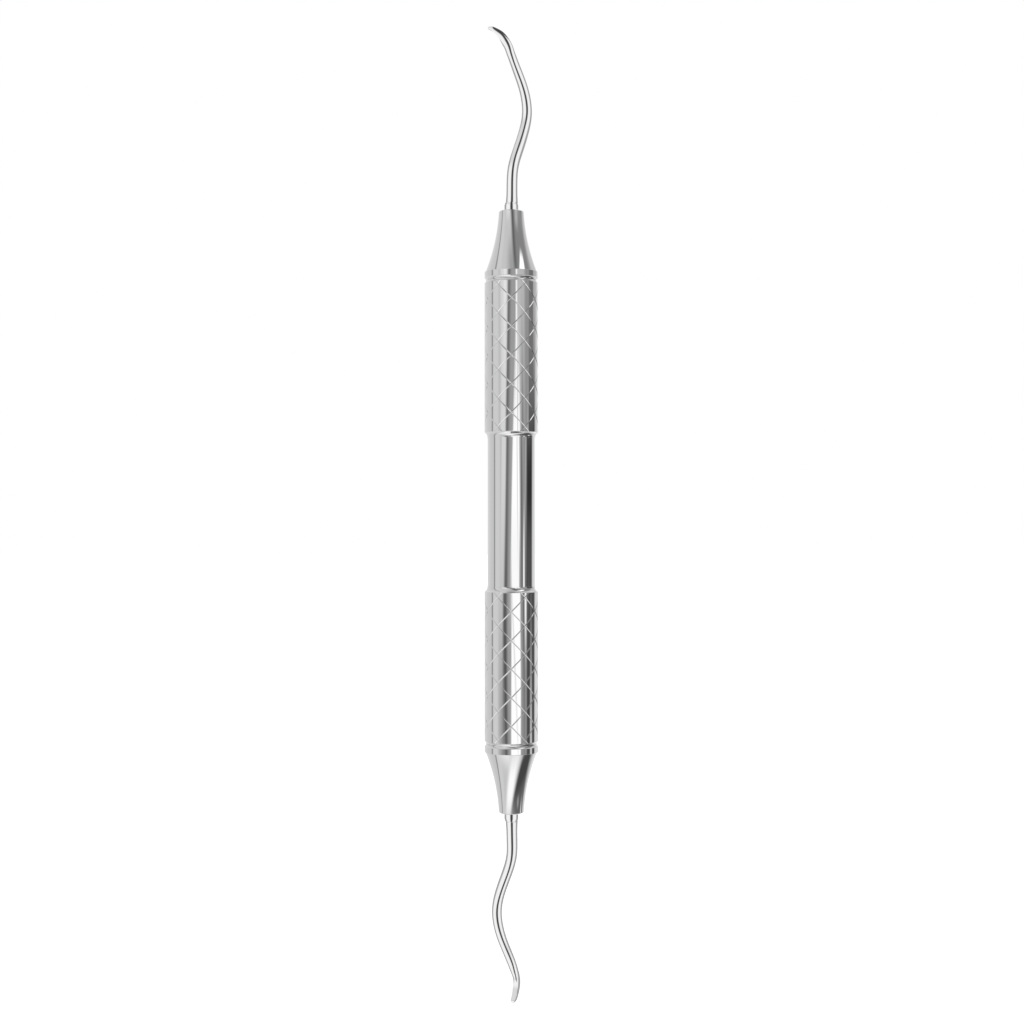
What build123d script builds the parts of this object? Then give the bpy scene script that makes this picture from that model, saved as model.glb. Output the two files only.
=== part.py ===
from build123d import *
import math
import os

# Double-ended hand scaler, all stainless steel, in millimetres.
# +Z runs along the handle to the upper working end, -Y is the side that faces the viewer,
# and the origin is the middle of the handle, on its axis.
# Every piece is drawn for the upper half. The lower half is its mirror image in the XY plane.
# The lower working end, with its cone and pin, is also turned about the handle, so that the
# two blades make a right-hand and left-hand pair.

# Handle
GRIP_D = 9.5                # both knurled grips and the bands of the nose cones
WAIST_D = 8.4               # the plain tube between the grips
TUBE_WALL = 0.4
WAIST_HALF = 13.15          # half the length of the bare tube
SHOULDER_LIP = 0.05         # blunt edge of the sleeve on the tube
SHOULDER_LIP_LENGTH = 0.12
SHOULDER_LENGTH = 0.86      # hollow from the lip up to the grip
SHOULDER_CREST_ROUND = 0.10
SLIDE_GAP = 0.01            # radial gap between pieces that fit into each other
FACE_GAP = 0.01             # each piece stops this far from the plane where two pieces meet

# Ring groove that hides the joint between grip sleeve and nose cone
JOINT_Z = 41.07
GROOVE_WIDTH = 0.93
GROOVE_DEPTH = 0.25

# Knurl: two families of shallow V-grooves that cross at right angles
KNURL_STARTS = 6
KNURL_WIDTH = 0.20
KNURL_DEPTH = 0.07
KNURL_CROSSING_Z = 17.47    # first crossing on the side that faces the viewer
KNURL_LEAD = 30.1           # a helix of about 45 degrees

# Nose cone
BAND_TOP_Z = 42.58
BAND_STEP = 0.17            # the flare starts this far inside the band
FACE_Z = 53.5
FACE_D = 4.4
FACE_TAPER = 3.0            # degrees between the flare and the axis, at the face
FACE_ROUND = 0.5
SPIGOT_LENGTH = 6.5         # plug inside the tube

# Working end
TANG_D = 2.43
TANG_LENGTH = 16.7          # the part that is held inside the nose cone
TANG_END_GAP = 0.2
COLLAR_LENGTH = 1.05
PAIR_TURN = 84.0            # degrees from the upper blade to the lower one, about the handle

# Centre line of shank and blade: x, y, z, and the section there, across the blade and along the curl
STATIONS = [
    (0.08, -0.05, 54.95, 2.12, 2.12),
    (0.10, -0.07, 56.30, 1.96, 1.96),
    (0.11, -0.10, 58.00, 1.92, 1.92),
    (0.29, -0.03, 60.98, 1.88, 1.88),
    (1.20, 0.94, 64.51, 1.87, 1.87),
    (2.26, 2.27, 68.21, 1.81, 1.81),
    (2.79, 2.90, 71.45, 1.77, 1.77),
    (2.31, 2.31, 75.28, 1.68, 1.68),
    (1.05, 0.79, 78.60, 1.58, 1.58),
    (0.11, -0.30, 80.83, 1.48, 1.50),
    (-0.16, -0.58, 81.49, 1.36, 1.52),
    (-0.56, -0.96, 82.49, 1.18, 1.54),
    (-1.18, -1.08, 83.48, 1.12, 1.56),
    (-1.97, -0.99, 84.47, 1.12, 1.44),
    (-2.85, -0.89, 85.16, 1.06, 1.18),
    (-3.58, -0.74, 85.58, 0.94, 0.94),
    (-4.04, -0.63, 85.72, 0.66, 0.66),
]
TOE_TANGENT = (-0.93, 0.22, 0.28)

# The blade curls almost sideways. Its face is ground on the inner side of the curl, as a shallow
# hollow round a level axis.
CURL_DIRECTION = (-0.92, 0.39)      # horizontal way in which the face looks
FACE_CENTRE = (-5.63, 0.29, 81.71)
FACE_HOLLOW_R = 4.29
FACE_CUTTER_WIDTH = 4.0

# Hidden joint between tube, cone and working end
PIN_D = 1.0
PIN_Z = 38.6
PIN_END_GAP = 0.05
PIN_CHAMFER = 0.1
SEAL_SECTION = 1.0
SEAL_Z = 35.7
SEAL_GROOVE_WIDTH = 1.2

grip_r = GRIP_D / 2
tube_r = WAIST_D / 2
bore_r = tube_r - TUBE_WALL
spigot_r = bore_r - SLIDE_GAP
tang_r = TANG_D / 2
tang_end_z = FACE_Z - TANG_LENGTH


def turned(*points):
    """Solid of revolution about the handle from the corners (radius, height) of its outline."""
    outline = Polyline([(radius, 0, height) for radius, height in points], close=True)
    return revolve(make_face(outline), Axis.Z)


def ring(inner, outer, bottom, top):
    return turned((inner, bottom), (outer, bottom), (outer, top), (inner, top))


def joint_groove():
    """Torus whose inner side is the round bottom of the ring groove."""
    half = GROOVE_WIDTH / 2
    radius = (half ** 2 + GROOVE_DEPTH ** 2) / (2 * GROOVE_DEPTH)
    return Pos(0, 0, JOINT_Z) * Torus(grip_r - GROOVE_DEPTH + radius, radius)


def knurl_groove(left_handed):
    """One V-groove: a helical bar of triangular section that passes the first crossing."""
    path = Helix(KNURL_LEAD, JOINT_Z - WAIST_HALF, grip_r, lefthand=left_handed)
    start = path @ 0
    across = Plane(origin=start, x_dir=(start.X, start.Y, 0), z_dir=path % 0)
    bottom = (-KNURL_DEPTH, 0)
    outside = KNURL_DEPTH       # the V carries on to twice its width clear of the surface
    corners = [bottom, (outside, KNURL_WIDTH), (outside, -KNURL_WIDTH)]
    bar = sweep(across * make_face(Polyline(corners, close=True)), path=path, is_frenet=True)
    travel = 360 * (KNURL_CROSSING_Z - WAIST_HALF) / KNURL_LEAD
    to_front = -90 + travel if left_handed else -90 - travel
    return Pos(0, 0, WAIST_HALF) * Rot(0, 0, to_front) * bar


def core_tube():
    end = JOINT_Z - FACE_GAP
    return ring(bore_r, tube_r, -end, end)


def grip_sleeve():
    inner = tube_r + SLIDE_GAP
    lip = inner + SHOULDER_LIP
    foot_z = WAIST_HALF + SHOULDER_LIP_LENGTH
    crest_z = foot_z + SHOULDER_LENGTH
    top = JOINT_Z - FACE_GAP
    foot = (lip, 0, foot_z)
    crest = (grip_r, 0, crest_z)
    hollow = TangentArc(foot, crest, tangent=(0, 0, 1))
    bore_side = [(grip_r, 0, top), (inner, 0, top), (inner, 0, WAIST_HALF), (lip, 0, WAIST_HALF)]
    sleeve = revolve(make_face([hollow, Polyline(crest, *bore_side, foot)]), Axis.Z)
    rim = sleeve.edges().filter_by_position(Axis.Z, crest_z, crest_z)
    sleeve = fillet(rim, SHOULDER_CREST_ROUND) - joint_groove()
    # The grooves are cut one after another, because tools that cross each other can't be cut at once.
    for left_handed in (False, True):
        groove = knurl_groove(left_handed)
        for start in range(KNURL_STARTS):
            sleeve = sleeve - Rot(0, 0, 360 * start / KNURL_STARTS) * groove
    return sleeve


def nose_flare():
    """Outer side of the cone, a curve that turns from the band's slope to almost straight at the face."""
    foot = (grip_r - BAND_STEP, 0, BAND_TOP_Z)
    lip = (FACE_D / 2, 0, FACE_Z)
    taper = math.radians(FACE_TAPER)
    flare = TangentArc(lip, foot, tangent=(math.sin(taper), 0, -math.cos(taper)))
    sides = Polyline(foot, (0, 0, BAND_TOP_Z), (0, 0, FACE_Z), lip)
    cone = revolve(make_face([flare, sides]), Axis.Z)
    rim = cone.edges().filter_by_position(Axis.Z, FACE_Z, FACE_Z)
    return fillet(rim, FACE_ROUND)


def nose_cone():
    joint = JOINT_Z + FACE_GAP
    band = ring(0, grip_r, joint, BAND_TOP_Z)
    spigot = ring(0, spigot_r, joint - SPIGOT_LENGTH, joint)
    cone = nose_flare() + band + spigot - joint_groove()
    bore = ring(0, tang_r + SLIDE_GAP, tang_end_z - TANG_END_GAP, FACE_Z)
    seal_bottom = SEAL_Z - SEAL_GROOVE_WIDTH / 2
    seal_top = seal_bottom + SEAL_GROOVE_WIDTH
    seal_groove = ring(bore_r - SEAL_SECTION - SLIDE_GAP, grip_r, seal_bottom, seal_top)
    return cone - bore - seal_groove - pin_hole()


def seal_ring():
    radius = SEAL_SECTION / 2
    return Pos(0, 0, SEAL_Z) * Torus(bore_r - radius - SLIDE_GAP / 2, radius - SLIDE_GAP / 4)


def pin_hole():
    return Pos(0, 0, PIN_Z) * Rot(0, 90, 0) * Cylinder(PIN_D / 2 + SLIDE_GAP, GRIP_D)


def tang_pin():
    pin = Cylinder(PIN_D / 2, 2 * (spigot_r - PIN_END_GAP))
    pin = chamfer(pin.edges().filter_by(GeomType.CIRCLE), PIN_CHAMFER)
    return Pos(0, 0, PIN_Z) * Rot(0, 90, 0) * pin


def shank():
    """Round shank that narrows along its double bend and flattens into the blade."""
    points = [station[:3] for station in STATIONS]
    line = Spline(points, tangents=[(0, 0, 1), TOE_TANGENT])
    across_blade = Vector(CURL_DIRECTION[1], -CURL_DIRECTION[0], 0)
    sections = []
    for x, y, z, across, along in STATIONS:
        tangent = line.tangent_at((x, y, z))
        section = Plane(origin=(x, y, z), x_dir=across_blade.cross(tangent), z_dir=tangent)
        sections.append(section * Ellipse(along / 2, across / 2))
    return loft(sections)


def blade_face_cutter():
    level_axis = (CURL_DIRECTION[1], -CURL_DIRECTION[0], 0)
    return Plane(origin=FACE_CENTRE, z_dir=level_axis) * Cylinder(FACE_HOLLOW_R, FACE_CUTTER_WIDTH)


def working_end():
    collar_top = FACE_Z + COLLAR_LENGTH
    root_r = STATIONS[0][3] / 2
    root_z = STATIONS[0][2]
    tang = turned((0, tang_end_z), (tang_r, tang_end_z), (tang_r, collar_top), (root_r, root_z), (0, root_z))
    return tang - pin_hole() + (shank() - blade_face_cutter())


def lower(piece, turn=0.0):
    """Lower partner of an upper piece."""
    return Rot(0, 0, turn) * mirror(piece, about=Plane.XY)


os.makedirs("parts", exist_ok=True)
upper = {
    "grip_sleeve": (grip_sleeve(), 0.0),
    "nose_cone": (nose_cone(), PAIR_TURN),
    "seal_ring": (seal_ring(), PAIR_TURN),
    "tang_pin": (tang_pin(), PAIR_TURN),
    "working_end": (working_end(), PAIR_TURN),
}
export_step(core_tube(), "parts/core_tube.step")
for name, (piece, turn) in upper.items():
    export_step(piece, "parts/" + name + "_upper.step")
    export_step(lower(piece, turn), "parts/" + name + "_lower.step")
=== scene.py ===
import math

import bmesh
import bpy
import numpy as np
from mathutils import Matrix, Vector


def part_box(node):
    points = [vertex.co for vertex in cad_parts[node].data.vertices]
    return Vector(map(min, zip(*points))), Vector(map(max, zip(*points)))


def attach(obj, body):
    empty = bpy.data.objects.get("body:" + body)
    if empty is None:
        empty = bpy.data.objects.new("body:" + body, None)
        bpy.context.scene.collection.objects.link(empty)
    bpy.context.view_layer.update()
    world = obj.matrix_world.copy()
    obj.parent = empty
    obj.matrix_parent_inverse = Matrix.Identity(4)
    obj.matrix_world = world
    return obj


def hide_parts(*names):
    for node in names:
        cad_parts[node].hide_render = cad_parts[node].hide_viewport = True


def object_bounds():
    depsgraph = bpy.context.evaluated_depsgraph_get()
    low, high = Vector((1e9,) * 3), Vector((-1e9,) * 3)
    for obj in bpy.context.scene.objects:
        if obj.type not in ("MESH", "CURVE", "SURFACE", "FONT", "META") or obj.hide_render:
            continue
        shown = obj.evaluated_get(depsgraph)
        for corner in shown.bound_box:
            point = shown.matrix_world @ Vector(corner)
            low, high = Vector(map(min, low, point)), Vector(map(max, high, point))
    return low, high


# Double-ended dental hand scaler, upright, in metres. Z runs along the handle, -Y faces the camera.
# Lengths below are in millimetres and are turned into metres when a mesh is made.
# Every piece is drawn for the upper half, and the lower half is its mirror image.

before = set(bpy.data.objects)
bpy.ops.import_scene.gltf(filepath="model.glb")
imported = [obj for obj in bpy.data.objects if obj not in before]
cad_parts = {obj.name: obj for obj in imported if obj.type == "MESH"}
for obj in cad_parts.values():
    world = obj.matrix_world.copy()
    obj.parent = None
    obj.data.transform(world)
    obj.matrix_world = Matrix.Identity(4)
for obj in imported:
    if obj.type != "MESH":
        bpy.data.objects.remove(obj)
cad_low, cad_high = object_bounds()
MM = 0.001

# Sizes that the frame gives
GRIP_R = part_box("grip_sleeve_upper")[1].x / MM
TUBE_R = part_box("core_tube")[1].x / MM
TUBE_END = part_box("core_tube")[1].z / MM
SLEEVE_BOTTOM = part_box("grip_sleeve_upper")[0].z / MM
SLEEVE_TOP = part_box("grip_sleeve_upper")[1].z / MM
SPIGOT_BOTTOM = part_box("nose_cone_upper")[0].z / MM
FACE_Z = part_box("nose_cone_upper")[1].z / MM
TANG_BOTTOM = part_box("working_end_upper")[0].z / MM

# Tube, sleeve and cone
TUBE_WALL = 0.4
SLIDE_GAP = 0.01
SHOULDER_LIP = 0.05
SHOULDER_LIP_LENGTH = 0.12
SHOULDER_LENGTH = 0.86
SHOULDER_CREST_ROUND = 0.10
SHOULDER_STEPS = 10         # points along the hollow of the shoulder
JOINT_Z = SLEEVE_TOP + SLIDE_GAP
RING_GROOVE_WIDTH = 0.93
RING_GROOVE_DEPTH = 0.25
BAND_TOP_Z = 42.58
BAND_STEP = 0.17
FACE_R = 2.2
FACE_TAPER = math.radians(3.0)
FACE_ROUND = 0.5
EDGE_ROUND = 0.05
LIP_ROUND = 0.015
SPIGOT_ROUND = 0.2
TURN_STEPS = 256            # segments round every turned piece
SUPPORT = 0.03              # how close the extra point sits to each end of a long straight stretch
SHARP_ANGLE = math.radians(35)

# Knurl
KNURL_STARTS = 6
KNURL_LEAD = 30.1
KNURL_WIDTH = 0.20
KNURL_DEPTH = 0.07
KNURL_CROSSING_Z = 17.47
KNURL_FLAT_STEPS = 12       # mesh lines on the land between two grooves

# Working end: x, y, z along the centre line, and the section across the blade and along its curl
TANG_R = 1.215
TANG_TIP_R = 0.9
TANG_POINT = 0.3            # length over which the hidden end of the tang narrows
TANG_MIDDLE_Z = 45.0
COLLAR_TOP_Z = 54.55
PAIR_TURN = math.radians(84.0)
STATIONS = [
    (0.08, -0.05, 54.95, 2.12, 2.12),
    (0.10, -0.07, 56.30, 1.96, 1.96),
    (0.11, -0.10, 58.00, 1.92, 1.92),
    (0.29, -0.03, 60.98, 1.88, 1.88),
    (1.20, 0.94, 64.51, 1.87, 1.87),
    (2.26, 2.27, 68.21, 1.81, 1.81),
    (2.79, 2.90, 71.45, 1.77, 1.77),
    (2.31, 2.31, 75.28, 1.68, 1.68),
    (1.05, 0.79, 78.60, 1.58, 1.58),
    (0.11, -0.30, 80.83, 1.48, 1.50),
    (-0.16, -0.58, 81.49, 1.36, 1.52),
    (-0.56, -0.96, 82.49, 1.18, 1.54),
    (-1.18, -1.08, 83.48, 1.12, 1.56),
    (-1.97, -0.99, 84.47, 1.12, 1.44),
    (-2.85, -0.89, 85.16, 1.06, 1.18),
    (-3.58, -0.74, 85.58, 0.94, 0.94),
    (-4.04, -0.63, 85.72, 0.66, 0.66),
]
TOE_LENGTH = 0.05
BLADE_STEPS = 220           # sections along shank and blade
FACE_MIN_ANGLE = math.radians(25)   # half the angle that the face spans where it starts
CURL_DIRECTION = np.array([-0.92, 0.39, 0.0])
FACE_CENTRE = np.array([-5.63, 0.29, 81.71])
FACE_HOLLOW_R = 4.29


# ---------------------------------------------------------------- mesh helpers

def mesh_object(name, points, faces):
    """Smooth-shaded object from points in millimetres."""
    mesh = bpy.data.meshes.new(name)
    mesh.from_pydata([tuple(float(c) * MM for c in p) for p in points], [], faces)
    tidy_normals(mesh)
    obj = bpy.data.objects.new(name, mesh)
    bpy.context.scene.collection.objects.link(obj)
    return obj


def tidy_normals(mesh):
    """Outward normals, smooth except across edges sharper than SHARP_ANGLE."""
    bm = bmesh.new()
    bm.from_mesh(mesh)
    bmesh.ops.recalc_face_normals(bm, faces=bm.faces)
    bm.to_mesh(mesh)
    bm.free()
    mesh.polygons.foreach_set("use_smooth", [True] * len(mesh.polygons))
    mesh.set_sharp_from_angle(angle=SHARP_ANGLE)


def lower_copy(obj, name, turn=0.0, normals=None):
    """Mirror image of an upper piece in the XY plane, turned about the handle."""
    c, s = math.cos(turn), math.sin(turn)

    def mirrored(vectors):
        x, y, z = vectors.T
        return np.stack([x * c - y * s, x * s + y * c, -z], 1)

    mesh = obj.data.copy()
    mesh.name = name
    co = np.zeros(len(mesh.vertices) * 3)
    mesh.vertices.foreach_get("co", co)
    mesh.vertices.foreach_set("co", mirrored(co.reshape(-1, 3)).ravel())
    mesh.flip_normals()
    if normals is not None:
        mesh.normals_split_custom_set_from_vertices(mirrored(normals))
    copy = bpy.data.objects.new(name, mesh)
    bpy.context.scene.collection.objects.link(copy)
    return copy


def rounded(corners, steps=6):
    """Closed outline of (radius, height) points from corners (radius, height, rounding)."""
    outline = []
    count = len(corners)
    for i, (r, z, rounding) in enumerate(corners):
        here = np.array([r, z])
        if rounding <= 0:
            outline.append(here)
            continue
        before = np.array(corners[i - 1][:2]) - here
        after = np.array(corners[(i + 1) % count][:2]) - here
        before = before / np.linalg.norm(before)
        after = after / np.linalg.norm(after)
        half = math.acos(np.clip(before @ after, -1, 1)) / 2
        reach = rounding / math.tan(half)
        middle = before + after
        centre = here + middle / np.linalg.norm(middle) * rounding / math.sin(half)
        start = here + before * reach - centre
        end = here + after * reach - centre
        swing = math.pi - 2 * half
        for k in range(steps + 1):
            t = k / steps
            blend = math.sin((1 - t) * swing) * start + math.sin(t * swing) * end
            outline.append(centre + blend / math.sin(swing))
    return outline


def supported(outline, closed=True):
    """Adds a point close to each end of a long straight stretch, so that its shading stays straight."""
    result = []
    for i, here in enumerate(outline):
        result.append(here)
        if i + 1 == len(outline) and not closed:
            break
        step = np.array(outline[(i + 1) % len(outline)]) - np.array(here)
        length = np.linalg.norm(step)
        if length > 12 * SUPPORT:
            result.append(here + step * SUPPORT / length)
            result.append(here + step * (1 - SUPPORT / length))
    return result


def lathe(name, outline):
    """Solid of revolution about Z from a closed outline of (radius, height)."""
    rows = len(outline)
    angles = np.linspace(0, 2 * math.pi, TURN_STEPS, endpoint=False)
    points = [(r * math.cos(a), r * math.sin(a), z) for a in angles for r, z in outline]
    faces = []
    for i in range(TURN_STEPS):
        j = (i + 1) % TURN_STEPS
        for k in range(rows):
            m = (k + 1) % rows
            faces.append((i * rows + k, j * rows + k, j * rows + m, i * rows + m))
    return mesh_object(name, points, faces)


# ---------------------------------------------------------------- turned pieces

def core_tube():
    inner = TUBE_R - TUBE_WALL
    corners = [
        (inner, -TUBE_END, 0),
        (TUBE_R, -TUBE_END, EDGE_ROUND),
        (TUBE_R, TUBE_END, EDGE_ROUND),
        (inner, TUBE_END, 0),
    ]
    return lathe("tube_polished", supported(rounded(corners)))


def ring_groove_radius(z):
    """Radius of the handle in the round ring groove at height z."""
    half = RING_GROOVE_WIDTH / 2
    radius = (half ** 2 + RING_GROOVE_DEPTH ** 2) / (2 * RING_GROOVE_DEPTH)
    centre = GRIP_R - RING_GROOVE_DEPTH + radius
    return centre - math.sqrt(radius ** 2 - (z - JOINT_Z) ** 2)


def flare(steps=48):
    """Concave side of the cone as an arc that ends almost straight at the face."""
    foot = np.array([GRIP_R - BAND_STEP, BAND_TOP_Z])
    lip = np.array([FACE_R, FACE_Z])
    chord = foot - lip
    start = np.array([math.sin(FACE_TAPER), -math.cos(FACE_TAPER)])
    outward = np.array([math.cos(FACE_TAPER), math.sin(FACE_TAPER)])
    radius = (chord @ chord) / (2 * (chord @ outward))
    sweep = 2 * math.asin(np.linalg.norm(chord) / (2 * radius))
    return [
        tuple(lip + outward * radius * (1 - math.cos(a)) + start * radius * math.sin(a))
        for a in np.linspace(sweep, 0, steps)
    ]


def nose_cone():
    bore = TANG_R + SLIDE_GAP
    spigot = TUBE_R - TUBE_WALL - SLIDE_GAP
    joint = JOINT_Z + SLIDE_GAP
    groove = np.linspace(joint, JOINT_Z + RING_GROOVE_WIDTH / 2, 8)
    corners = [(bore, SPIGOT_BOTTOM, 0), (spigot, SPIGOT_BOTTOM, SPIGOT_ROUND), (spigot, joint, 0)]
    corners += [(ring_groove_radius(z), z, 0) for z in groove]
    corners += [(GRIP_R, BAND_TOP_Z, EDGE_ROUND)]
    side = flare()
    corners += [(r, z, 0) for r, z in side[:-1]]
    corners += [(FACE_R, FACE_Z, FACE_ROUND), (bore, FACE_Z, EDGE_ROUND)]
    return lathe("nose_cone_turned_upper", supported(rounded(corners)))


# ---------------------------------------------------------------- knurled sleeve

def knurl_depth(offset):
    """Depth of a groove at a distance from its middle, both in millimetres."""
    return KNURL_DEPTH * np.clip(1 - abs(offset) / (KNURL_WIDTH / 2), 0, 1)


def sleeve_outline():
    """Height and radius of the sleeve without its knurl, from the waist to the joint."""
    lip = TUBE_R + SLIDE_GAP + SHOULDER_LIP
    foot = SLEEVE_BOTTOM + SHOULDER_LIP_LENGTH
    crest = foot + SHOULDER_LENGTH
    groove_start = JOINT_Z - RING_GROOVE_WIDTH / 2
    rise = GRIP_R - lip
    radius = (rise ** 2 + SHOULDER_LENGTH ** 2) / (2 * rise)
    sweep = math.asin(SHOULDER_LENGTH / radius)
    hollow = [
        (lip + radius * (1 - math.cos(a)), foot + radius * math.sin(a), 0)
        for a in np.linspace(0, sweep, SHOULDER_STEPS)[:-1]
    ]
    corners = [(lip - SHOULDER_LIP, SLEEVE_BOTTOM, 0), (lip, SLEEVE_BOTTOM, LIP_ROUND)]
    corners += hollow + [(GRIP_R, crest, SHOULDER_CREST_ROUND), (GRIP_R, groove_start, 0)]
    side = supported([np.array(p) for p in rounded(corners)[1:]], closed=False)
    side += [(ring_groove_radius(z), z) for z in np.linspace(groove_start, SLEEVE_TOP, 9)[1:]]
    return [float(p[1]) for p in side], [float(p[0]) for p in side]


def knurl_lines(spacing):
    """Places of the mesh lines across one groove spacing: close in the groove, wide on the land."""
    half = KNURL_WIDTH / 2 / spacing
    groove = [half * share for share in (0, 0.12, 0.5, 0.88, 1.0, 1.15)]
    land = np.linspace(groove[-1], 1 - groove[-1], KNURL_FLAT_STEPS + 1)[1:-1]
    return groove + list(land) + [1 - g for g in reversed(groove[1:])]


def knurled_sleeve():
    """Sleeve whose mesh lines run along the grooves, trimmed to height and pushed in where grooves run.

    Gives the object and the exact normals of its outer side. A zero normal means a plain one.
    """
    around_step = 2 * math.pi * GRIP_R / KNURL_STARTS
    up_step = KNURL_LEAD / KNURL_STARTS
    spacing = around_step * up_step / math.hypot(around_step, up_step)
    heights, radii = sleeve_outline()

    def radius_at(angle, z):
        around = (angle + math.pi / 2) * GRIP_R / around_step
        up = (z - KNURL_CROSSING_Z) / up_step
        groove = max(float(knurl_depth((p - round(p)) * spacing)) for p in (around + up, around - up))
        return min(float(np.interp(z, heights, radii)), GRIP_R - groove)

    def normal_at(angle, z, nudge=0.004):
        radius = radius_at(angle, z)
        swing = nudge / GRIP_R
        around = (radius_at(angle + swing, z) - radius_at(angle - swing, z)) / (2 * nudge)
        up = (radius_at(angle, z + nudge) - radius_at(angle, z - nudge)) / (2 * nudge)
        outward = Vector((math.cos(angle), math.sin(angle), 0))
        sideways = Vector((-math.sin(angle), math.cos(angle), 0))
        return (outward - sideways * around * GRIP_R / radius - Vector((0, 0, up))).normalized()

    lines = knurl_lines(spacing)
    count = len(lines)
    turn = KNURL_STARTS * count
    margin = 0.3
    low = (SLEEVE_BOTTOM - KNURL_CROSSING_Z) / up_step - margin
    high = (SLEEVE_TOP - KNURL_CROSSING_Z) / up_step + margin
    bm = bmesh.new()
    corners = {}

    def place(i):
        return i // count + lines[i % count]

    def corner(i, j):
        wraps = i // turn
        key = (i - wraps * turn, j - wraps * turn)
        if key not in corners:
            u, v = place(key[0]), place(key[1])
            angle = (u + v) * around_step / 2 / GRIP_R - math.pi / 2
            z = (u - v) * up_step / 2 + KNURL_CROSSING_Z
            corners[key] = bm.verts.new((GRIP_R * math.cos(angle), GRIP_R * math.sin(angle), z))
        return corners[key]

    # u - v is twice the height in groove spacings, so the j range follows from the height range.
    for i in range(turn):
        first = math.floor((place(i) - 2 * high) * count)
        last = math.ceil((place(i) - 2 * low) * count)
        for j in range(first, last):
            bm.faces.new((corner(i, j), corner(i + 1, j), corner(i + 1, j + 1), corner(i, j + 1)))

    for z in heights:
        everything = bm.verts[:] + bm.edges[:] + bm.faces[:]
        bmesh.ops.bisect_plane(
            bm, geom=everything, dist=1e-6, plane_co=(0, 0, z), plane_no=(0, 0, 1),
            clear_inner=z == heights[0], clear_outer=z == heights[-1],
        )
    for vert in bm.verts:
        x, y, z = vert.co
        angle = math.atan2(y, x)
        radius = radius_at(angle, z)
        vert.co = (radius * math.cos(angle), radius * math.sin(angle), z)

    inner = TUBE_R + SLIDE_GAP
    rims = [edge for edge in bm.edges if edge.is_boundary]
    walls = bmesh.ops.extrude_edge_only(bm, edges=rims)["geom"]
    for vert in (g for g in walls if isinstance(g, bmesh.types.BMVert)):
        flat = Vector((vert.co.x, vert.co.y, 0)).normalized() * inner
        vert.co = (flat.x, flat.y, vert.co.z)
    loops = [g for g in walls if isinstance(g, bmesh.types.BMEdge) and g.is_boundary]
    bmesh.ops.bridge_loops(bm, edges=loops)
    normals = np.zeros((len(bm.verts), 3))
    bm.verts.index_update()
    for vert in bm.verts:
        x, y, z = vert.co
        if SLEEVE_BOTTOM + SUPPORT < z < SLEEVE_TOP - SUPPORT and math.hypot(x, y) > inner + SUPPORT:
            normals[vert.index] = normal_at(math.atan2(y, x), z)
    mesh = bpy.data.meshes.new("grip_knurled_upper")
    bmesh.ops.scale(bm, vec=(MM, MM, MM), verts=bm.verts)
    bm.to_mesh(mesh)
    bm.free()
    tidy_normals(mesh)
    mesh.normals_split_custom_set_from_vertices(normals)
    obj = bpy.data.objects.new("grip_knurled_upper", mesh)
    bpy.context.scene.collection.objects.link(obj)
    return obj, normals


# ---------------------------------------------------------------- working end

def smooth_curve(knots, values):
    """Natural cubic spline through values at knots, as a function."""
    n = len(knots)
    h = np.diff(knots)
    matrix = np.eye(n)
    right = np.zeros((n, values.shape[1]))
    for i in range(1, n - 1):
        matrix[i, i - 1:i + 2] = h[i - 1], 2 * (h[i - 1] + h[i]), h[i]
        right[i] = 6 * ((values[i + 1] - values[i]) / h[i] - (values[i] - values[i - 1]) / h[i - 1])
    bend = np.linalg.solve(matrix, right)

    def at(s):
        i = int(np.clip(np.searchsorted(knots, s) - 1, 0, n - 2))
        a = (knots[i + 1] - s) / h[i]
        b = 1 - a
        arch = ((a ** 3 - a) * bend[i] + (b ** 3 - b) * bend[i + 1]) * h[i] ** 2 / 6
        return a * values[i] + b * values[i + 1] + arch

    return at


def blade_ring(centre, tangent, across, along, face_steps=10, round_steps=54):
    """One oval cross-section, cut by the ground face on the inner side of the curl."""
    axis = np.cross(CURL_DIRECTION, (0, 0, 1))
    side = axis - tangent * (axis @ tangent)
    side = side / np.linalg.norm(side)
    inward = np.cross(side, tangent)
    to_face = FACE_CENTRE - centre
    if inward @ to_face < 0:
        inward = -inward
    in_plane = to_face - axis * (to_face @ axis)
    face_at = np.linalg.norm(in_plane) - FACE_HOLLOW_R
    corner = max(math.acos(np.clip(face_at / along, -1, 1)), FACE_MIN_ANGLE)
    face = np.linspace(-corner, corner, face_steps, endpoint=False)
    back = np.linspace(corner, 2 * math.pi - corner, round_steps, endpoint=False)
    ring = []
    for a in np.concatenate([face, back]):
        reach = min(along * math.cos(a), face_at)
        ring.append(centre + inward * reach + side * across * math.sin(a))
    return ring


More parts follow.
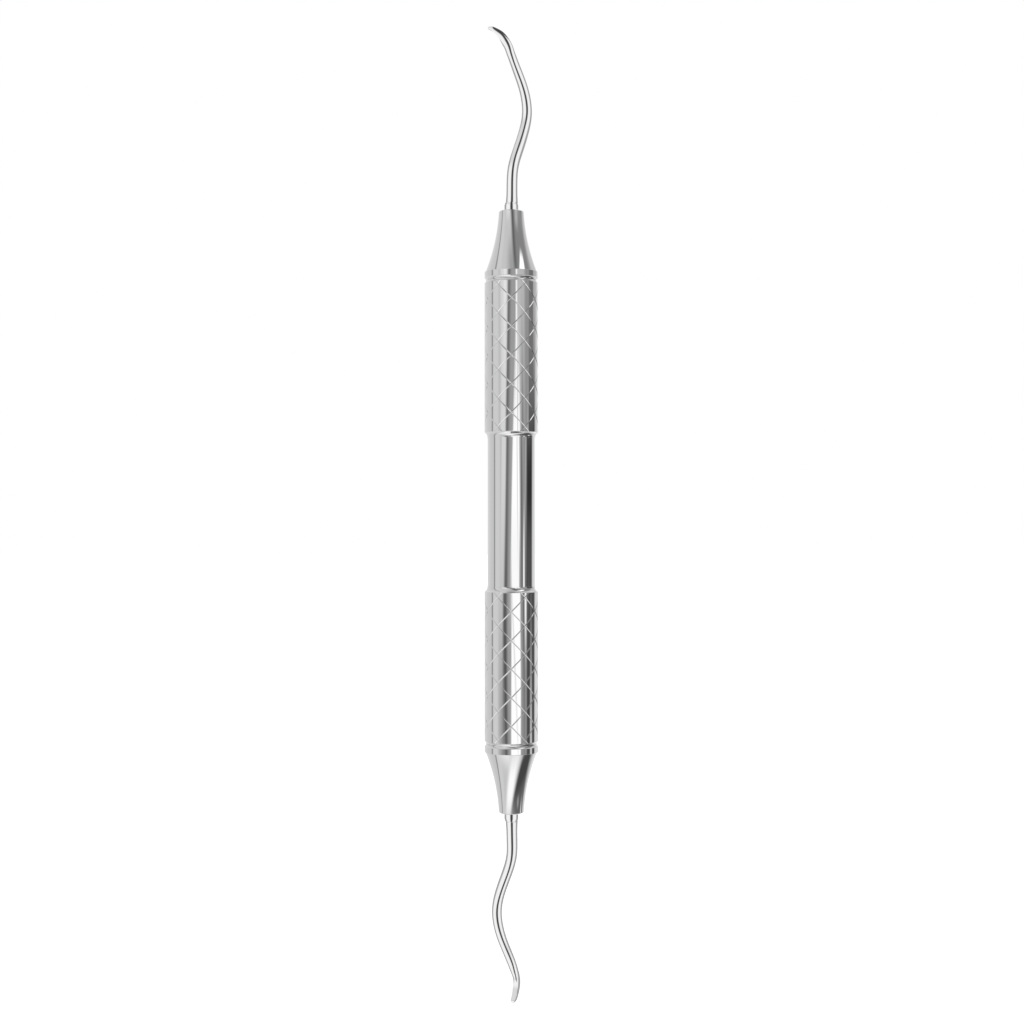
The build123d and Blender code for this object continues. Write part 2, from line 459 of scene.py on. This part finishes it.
def working_end():
    stations = np.array(STATIONS)
    steps = np.linalg.norm(np.diff(stations[:, :3], axis=0), axis=1)
    knots = np.concatenate([[0], np.cumsum(steps)])
    line = smooth_curve(knots, stations)
    rings = []
    root_z, root_r = stations[0, 2], stations[0, 3] / 2
    tang = [
        (TANG_TIP_R, TANG_BOTTOM),
        (TANG_R, TANG_BOTTOM + TANG_POINT),
        (TANG_R, TANG_MIDDLE_Z),
        (TANG_R, FACE_Z),
        (TANG_R, FACE_Z + 0.1),
    ]
    collar = [
        (TANG_R, COLLAR_TOP_Z - 0.12),
        (TANG_R - 0.02, COLLAR_TOP_Z),
        (TANG_R - 0.1, COLLAR_TOP_Z + 0.16),
    ]
    for r, z in tang + collar + [(root_r + 0.04, root_z - 0.08)]:
        rings.append(blade_ring(np.array([0, 0, z]), np.array([0, 0, 1.0]), r, r))
    for s in np.linspace(0, knots[-1], BLADE_STEPS):
        x, y, z, across, along = line(s)
        ahead, behind = line(min(s + 0.02, knots[-1])), line(max(s - 0.02, 0))
        tangent = ahead[:3] - behind[:3]
        tangent = tangent / np.linalg.norm(tangent)
        rings.append(blade_ring(np.array([x, y, z]), tangent, across / 2, along / 2))
    end = np.array([x, y, z])
    for t, shrink in ((0.5, 0.97), (1.0, 0.88)):
        shift = end + tangent * TOE_LENGTH * t
        rings.append([shift + (p - end) * shrink for p in blade_ring(end, tangent, across / 2, along / 2)])
    size = len(rings[0])
    points = [p for ring in rings for p in ring]
    faces = []
    for i in range(len(rings) - 1):
        for k in range(size):
            m = (k + 1) % size
            faces.append((i * size + k, i * size + m, (i + 1) * size + m, (i + 1) * size + k))
    faces.append(tuple(range(size)))
    last = (len(rings) - 1) * size
    faces.append(tuple(range(last, last + size)))
    return mesh_object("shank_and_blade_upper", points, faces)


# ---------------------------------------------------------------- materials

def node(tree, kind, settings=None, **inputs):
    made = tree.nodes.new(kind)
    for key, value in (settings or {}).items():
        setattr(made, key, value)
    for key, value in inputs.items():
        socket = made.inputs[int(key[1:])] if key[0] == "_" else made.inputs[key.replace("_", " ")]
        if isinstance(value, bpy.types.NodeSocket):
            tree.links.new(value, socket)
        else:
            socket.default_value = value
    return made


def new_material(name):
    material = bpy.data.materials.new(name)
    material.use_nodes = True
    tree = material.node_tree
    tree.nodes.clear()
    return material, tree


def polished_steel(name, tone=0.8, roughness=0.03, lines=0.5):
    """Polished stainless steel with fine turning lines round the handle and faint handling marks."""
    material, tree = new_material(name)
    place = node(tree, "ShaderNodeTexCoord").outputs["Object"]
    split = node(tree, "ShaderNodeSeparateXYZ", Vector=place)
    turning = node(tree, "ShaderNodeCombineXYZ", Z=split.outputs["Z"])
    fine = node(tree, "ShaderNodeTexNoise", Vector=turning.outputs[0], Scale=9000.0, Detail=2.0)
    broad = node(tree, "ShaderNodeTexNoise", Vector=place, Scale=260.0, Detail=3.0)
    rough = node(
        tree, "ShaderNodeMapRange", Value=broad.outputs["Fac"], _3=roughness * 0.75, _4=roughness * 1.35,
    )
    bump = node(tree, "ShaderNodeBump", Strength=lines, Distance=0.0000012, Height=fine.outputs["Fac"])
    shade = node(
        tree, "ShaderNodeBsdfPrincipled", Base_Color=(tone, tone, tone * 1.005, 1), Metallic=1.0,
        Roughness=rough.outputs[0], Normal=bump.outputs[0],
    )
    out = node(tree, "ShaderNodeOutputMaterial")
    tree.links.new(shade.outputs[0], out.inputs["Surface"])
    return material


def mirror_steel(name, tone=0.85):
    """Hand-polished steel of the working ends. Its roughness is exactly zero."""
    material, tree = new_material(name)
    shade = node(
        tree, "ShaderNodeBsdfPrincipled", Base_Color=(tone, tone, tone, 1), Metallic=1.0, Roughness=0.0,
    )
    out = node(tree, "ShaderNodeOutputMaterial")
    tree.links.new(shade.outputs[0], out.inputs["Surface"])
    return material


def black_rubber():
    material, tree = new_material("seal_rubber")
    place = node(tree, "ShaderNodeTexCoord").outputs["Object"]
    grain = node(tree, "ShaderNodeTexNoise", Vector=place, Scale=2500.0, Detail=4.0)
    bump = node(tree, "ShaderNodeBump", Strength=0.4, Distance=0.00001, Height=grain.outputs["Fac"])
    rough = node(tree, "ShaderNodeMapRange", Value=grain.outputs["Fac"], _3=0.55, _4=0.8)
    shade = node(
        tree, "ShaderNodeBsdfPrincipled", Base_Color=(0.015, 0.015, 0.016, 1), Roughness=rough.outputs[0],
        Normal=bump.outputs[0],
    )
    out = node(tree, "ShaderNodeOutputMaterial")
    tree.links.new(shade.outputs[0], out.inputs["Surface"])
    return material


def pale_floor_paint():
    """White studio floor: lit by the room, and raised to paper white where nothing shades it."""
    material, tree = new_material("floor_paint")
    glow = node(tree, "ShaderNodeEmission", Color=(1, 1, 1, 1), Strength=0.55)
    matt = node(tree, "ShaderNodeBsdfDiffuse", Color=(0.9, 0.9, 0.9, 1))
    both = node(tree, "ShaderNodeAddShader", _0=glow.outputs[0], _1=matt.outputs[0])
    out = node(tree, "ShaderNodeOutputMaterial")
    tree.links.new(both.outputs[0], out.inputs["Surface"])
    return material


# ---------------------------------------------------------------- studio

# The room that the steel reflects, as soft-edged panels, each laid over the ones above it in the list.
# Azimuth 0 is the camera's side and grows to the right. Lean is how far a panel's middle moves, and
# widening how much its half width grows, per degree of elevation. All in degrees.
PANELS = [
    # name, azimuth, elevation, half width, half height, lean, widening, softness, brightness
    ("left_wall",        -180,  -6,    50,   90,   0.00,  0.00, 30, 0.80),
    ("left_card",         -72,   0,    14,   90,   0.00,  0.00,  6, 0.74),
    ("left_slot",         -50,   0,    5,    12,   0.00,  0.00,  5, 0.60),
    ("left_gap",          -90,   0,    4,    60,   0.00,  0.00,  3, 0.33),
    ("upper_card",        -30,  13,    18,   7,    0.00,  0.00, 10, 0.90),
    ("upper_veil",         -2,  50,    16,   14,   0.30,  0.00, 22, 0.42),
    ("upper_grey",         62,  36,    50,   30,   0.00,  0.00, 20, 0.28),
    ("upper_pale",         44,  19,    12,   6,    0.00,  0.00, 14, 0.55),
    ("upper_shade",        12,  24,    10,   32,   0.50, -0.20, 14, 0.09),
    ("upper_window",       60,  51,    16.5, 14,  -0.45,  0.55,  4, 1.35),
    ("lower_grey",         72, -16,    52,   9,    0.00,  0.00, 30, 0.23),
    ("lower_fill",        -20, -54,    75,   10,   0.00,  0.00, 12, 0.85),
    ("floor_left",        -45, -66,    34,   14,   0.00,  0.00, 12, 1.20),
    ("floor_shade",        40, -68,    45,   12,   0.00,  0.00,  4, 0.08),
    ("lower_sheet",        -2, -33,    25,   16,  -1.60,  0.00, 15, 1.22),
    ("lower_flag",         79, -35,    39,   17,  -1.30,  1.30, 14, 0.070),
    ("low_blob",           59, -22,    8,    2.5,  0.00,  0.00,  4, 0.34),
    ("right_far_wall",    128,   0,    22,   13,   0.00,  0.00, 10, 0.52),
    ("right_wall",         62,   0,    46,   12,   0.00,  0.00,  3, 0.34),
    ("right_pale",         40,   8,    18,   5,    0.00,  0.00,  9, 0.60),
    ("camera_shade",       -2,   0,    26,   12,   0.00,  0.00,  3, 0.40),
    ("low_shade",         -40,  -9,    14,   5,    0.00,  0.00, 14, 0.45),
    ("camera_core",       -18,   3,    7,    12,   1.35,  0.00,  9, 0.16),
    ("camera_core_low",   -25,  -6,    7,    5,   -1.50,  0.00,  9, 0.10),
    ("front_left_card",   -34,   4,    11,   6,    1.90,  0.00,  5, 0.82),
    ("front_left_top",    -25,  10,    6,    4,    0.80,  0.00,  5, 0.98),
    ("key_top",            22,   7,    3,    5,    0.00,  0.00,  4, 1.20),
    ("key_taper",          22,   1.5,  17.5, 3.5,  0.60, -1.80,  4, 1.25),
    ("key_softbox",        21,  -6,    21,   6,    0.30,  0.00,  4, 1.25),
    ("key_notch",          47,  -3,    8,    2,    0.00,  0.00,  4, 0.34),
    ("key_gap",            28,   2.2,  1.6,  3,   -1.00,  0.00,  2, 0.70),
    ("key_streak",         14,  -5.2,  1.2,  3,   -5.00,  0.00,  5, 0.70),
    ("right_slot",         53,  -1,    3.5,  6,   -0.80,  0.00,  6, 0.12),
    ("right_glint",        64,  -2.5,  4,    1.8,  0.00,  0.00,  4, 1.30),
    ("right_strip",        72,   1,    2,    3,    2.00,  0.00,  4, 0.60),
    ("dark_flag",         101,   0,    21,   5.5,  0.00,  0.00,  3, 0.10),
    ("dark_flag_low",      94,  -7,    24,   6,    0.00,  0.00,  5, 0.08),
    ("dark_core",         102,   1.2,  18,   1.6,  0.00,  0.00,  5, 0.03),
    ("flag_haze",          95,  10,    13,   5.5,  0.00,  0.00,  5, 0.19),
    ("strip_light",        94, -12.5,  4,    6,    0.00,  0.00,  7, 1.20),
    ("right_rim",         180,   0,    36,   90,   0.00,  0.00, 22, 1.05),
    ("low_rim",           170,  -8,    49,   9,    0.00,  0.00,  9, 0.82),
    ("upper_right",       150,  25,    30,   10,   0.00,  0.00, 12, 0.66),
    ("ceiling_card",       10,  66,    60,   9,    0.00,  0.00,  4, 0.70),
    ("ceiling",            14,  90,    200,  12,   0.00,  0.00,  8, 0.12),
]
BACKDROP = 0.68

# The light tent round the two working ends: grey behind, lighter above left than above right, with the
# slot for the lens. Same columns as PANELS.
TENT = [
    ("tent_back",        -180,   0,    84,   90,   0.00,  0.00, 10, 0.42),
    ("tent_back_right",   180,   0,    88,   90,   0.00,  0.00, 10, 0.40),
    ("roof_left",         -90,  66,    90,   30,   0.00,  0.00, 10, 0.80),
    ("roof_right",         90,  74,    90,   28,   0.00,  0.00, 10, 0.08),
    ("lens_slot",           3,   0,    22,   90,   0.00,  0.00, 10, 0.06),
]
TENT_WALL = 1.03


def maths(tree, operation, *values):
    inputs = {"_" + str(i): value for i, value in enumerate(values)}
    return node(tree, "ShaderNodeMath", {"operation": operation}, **inputs).outputs[0]


def soft_step(tree, past, soft):
    """1 inside, 0 outside, with a smooth edge this soft on either side of the limit."""
    return node(
        tree, "ShaderNodeMapRange", {"interpolation_type": "SMOOTHSTEP"}, Value=past,
        From_Min=float(soft), From_Max=-float(soft), To_Min=0.0, To_Max=1.0,
    ).outputs[0]


def panel_light(tree, azimuth, elevation, panels, light):
    for name, centre, height, half, half_height, lean, widening, soft, brightness in panels:
        above = maths(tree, "SUBTRACT", elevation, float(height))
        middle = maths(tree, "MULTIPLY_ADD", above, float(lean), float(centre))
        away = maths(tree, "ABSOLUTE", maths(tree, "SUBTRACT", azimuth, middle))
        reach = maths(tree, "MULTIPLY_ADD", above, float(widening), float(half))
        inside = soft_step(tree, maths(tree, "SUBTRACT", away, reach), soft)
        if half_height < 90:
            past = maths(tree, "SUBTRACT", maths(tree, "ABSOLUTE", above), float(half_height))
            inside = maths(tree, "MULTIPLY", inside, soft_step(tree, past, min(soft, 0.8 * half_height)))
        kind = {"data_type": "FLOAT", "label": name}
        layer = node(tree, "ShaderNodeMix", kind, _0=inside, _2=light, _3=brightness)
        light = layer.outputs[0]
    return light


def studio_world():
    world = bpy.data.worlds.new("studio")
    world.use_nodes = True
    tree = world.node_tree
    tree.nodes.clear()
    direction = node(tree, "ShaderNodeTexCoord").outputs["Generated"]
    split = node(tree, "ShaderNodeSeparateXYZ", Vector=direction)
    towards = maths(tree, "MULTIPLY", split.outputs["Y"], -1.0)
    azimuth = maths(tree, "DEGREES", maths(tree, "ARCTAN2", split.outputs["X"], towards))
    elevation = maths(tree, "DEGREES", maths(tree, "ARCSINE", split.outputs["Z"]))
    room = panel_light(tree, azimuth, elevation, PANELS, BACKDROP)
    tent = panel_light(tree, azimuth, elevation, TENT, TENT_WALL)
    path = node(tree, "ShaderNodeLightPath")
    # Only the working ends are polished to a perfect mirror, and they stand in the tent.
    kind = {"data_type": "FLOAT"}
    light = node(tree, "ShaderNodeMix", kind, _0=path.outputs["Is Singular Ray"], _2=room, _3=tent).outputs[0]
    value = node(tree, "ShaderNodeMix", kind, _0=path.outputs["Is Camera Ray"], _2=light, _3=1.0).outputs[0]
    grey = node(tree, "ShaderNodeCombineColor", Red=value, Green=value, Blue=value)
    back = node(tree, "ShaderNodeBackground", Strength=1.0, Color=grey.outputs[0])
    out = node(tree, "ShaderNodeOutputWorld")
    tree.links.new(back.outputs[0], out.inputs["Surface"])
    bpy.context.scene.world = world


def studio_floor():
    bm = bmesh.new()
    bmesh.ops.create_grid(bm, x_segments=8, y_segments=8, size=3.0)
    mesh = bpy.data.meshes.new("studio_floor")
    bm.to_mesh(mesh)
    bm.free()
    floor = bpy.data.objects.new("studio_floor", mesh)
    bpy.context.scene.collection.objects.link(floor)
    floor.location.z = cad_low[2] - 0.0004
    mesh.materials.append(pale_floor_paint())
    floor.visible_glossy = False


CAMERA_DISTANCE = 288.6
CAMERA_SHIFT = 0.115
LENS = 57.1


def studio_camera():
    camera = bpy.data.objects.new("camera", bpy.data.cameras.new("camera"))
    bpy.context.scene.collection.objects.link(camera)
    camera.location = (CAMERA_SHIFT * MM, -CAMERA_DISTANCE * MM, 0)
    camera.rotation_euler = (math.pi / 2, 0, 0)
    camera.data.lens = LENS
    camera.data.clip_start = 0.005
    bpy.context.scene.camera = camera


# ---------------------------------------------------------------- assembly

def fit(obj, cad_node, material):
    """Puts a finished piece in the place of its CAD node."""
    obj.data.materials.clear()
    obj.data.materials.append(material)
    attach(obj, "root")
    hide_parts(cad_node)


tube_steel = polished_steel("tube_steel")
grip_steel = polished_steel("grip_steel")
cone_steel = polished_steel("cone_steel")
blade_steel = mirror_steel("blade_steel")

fit(core_tube(), "core_tube", tube_steel)
sleeve, sleeve_normals = knurled_sleeve()
lower_sleeve = lower_copy(sleeve, "grip_knurled_lower", normals=sleeve_normals)
fit(lower_sleeve, "grip_sleeve_lower", grip_steel)
fit(sleeve, "grip_sleeve_upper", grip_steel)
cone = nose_cone()
fit(lower_copy(cone, "nose_cone_turned_lower"), "nose_cone_lower", cone_steel)
fit(cone, "nose_cone_upper", cone_steel)
end = working_end()
fit(lower_copy(end, "shank_and_blade_lower", PAIR_TURN), "working_end_lower", blade_steel)
fit(end, "working_end_upper", blade_steel)

pin_steel = polished_steel("pin_steel", tone=0.6, roughness=0.25)
rubber = black_rubber()
for half in ("upper", "lower"):
    for cad_node, material in (("tang_pin_", pin_steel), ("seal_ring_", rubber)):
        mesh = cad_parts[cad_node + half].data
        mesh.materials.clear()
        mesh.materials.append(material)

studio_world()
studio_floor()
studio_camera()
bpy.context.scene.view_settings.view_transform = "Standard"
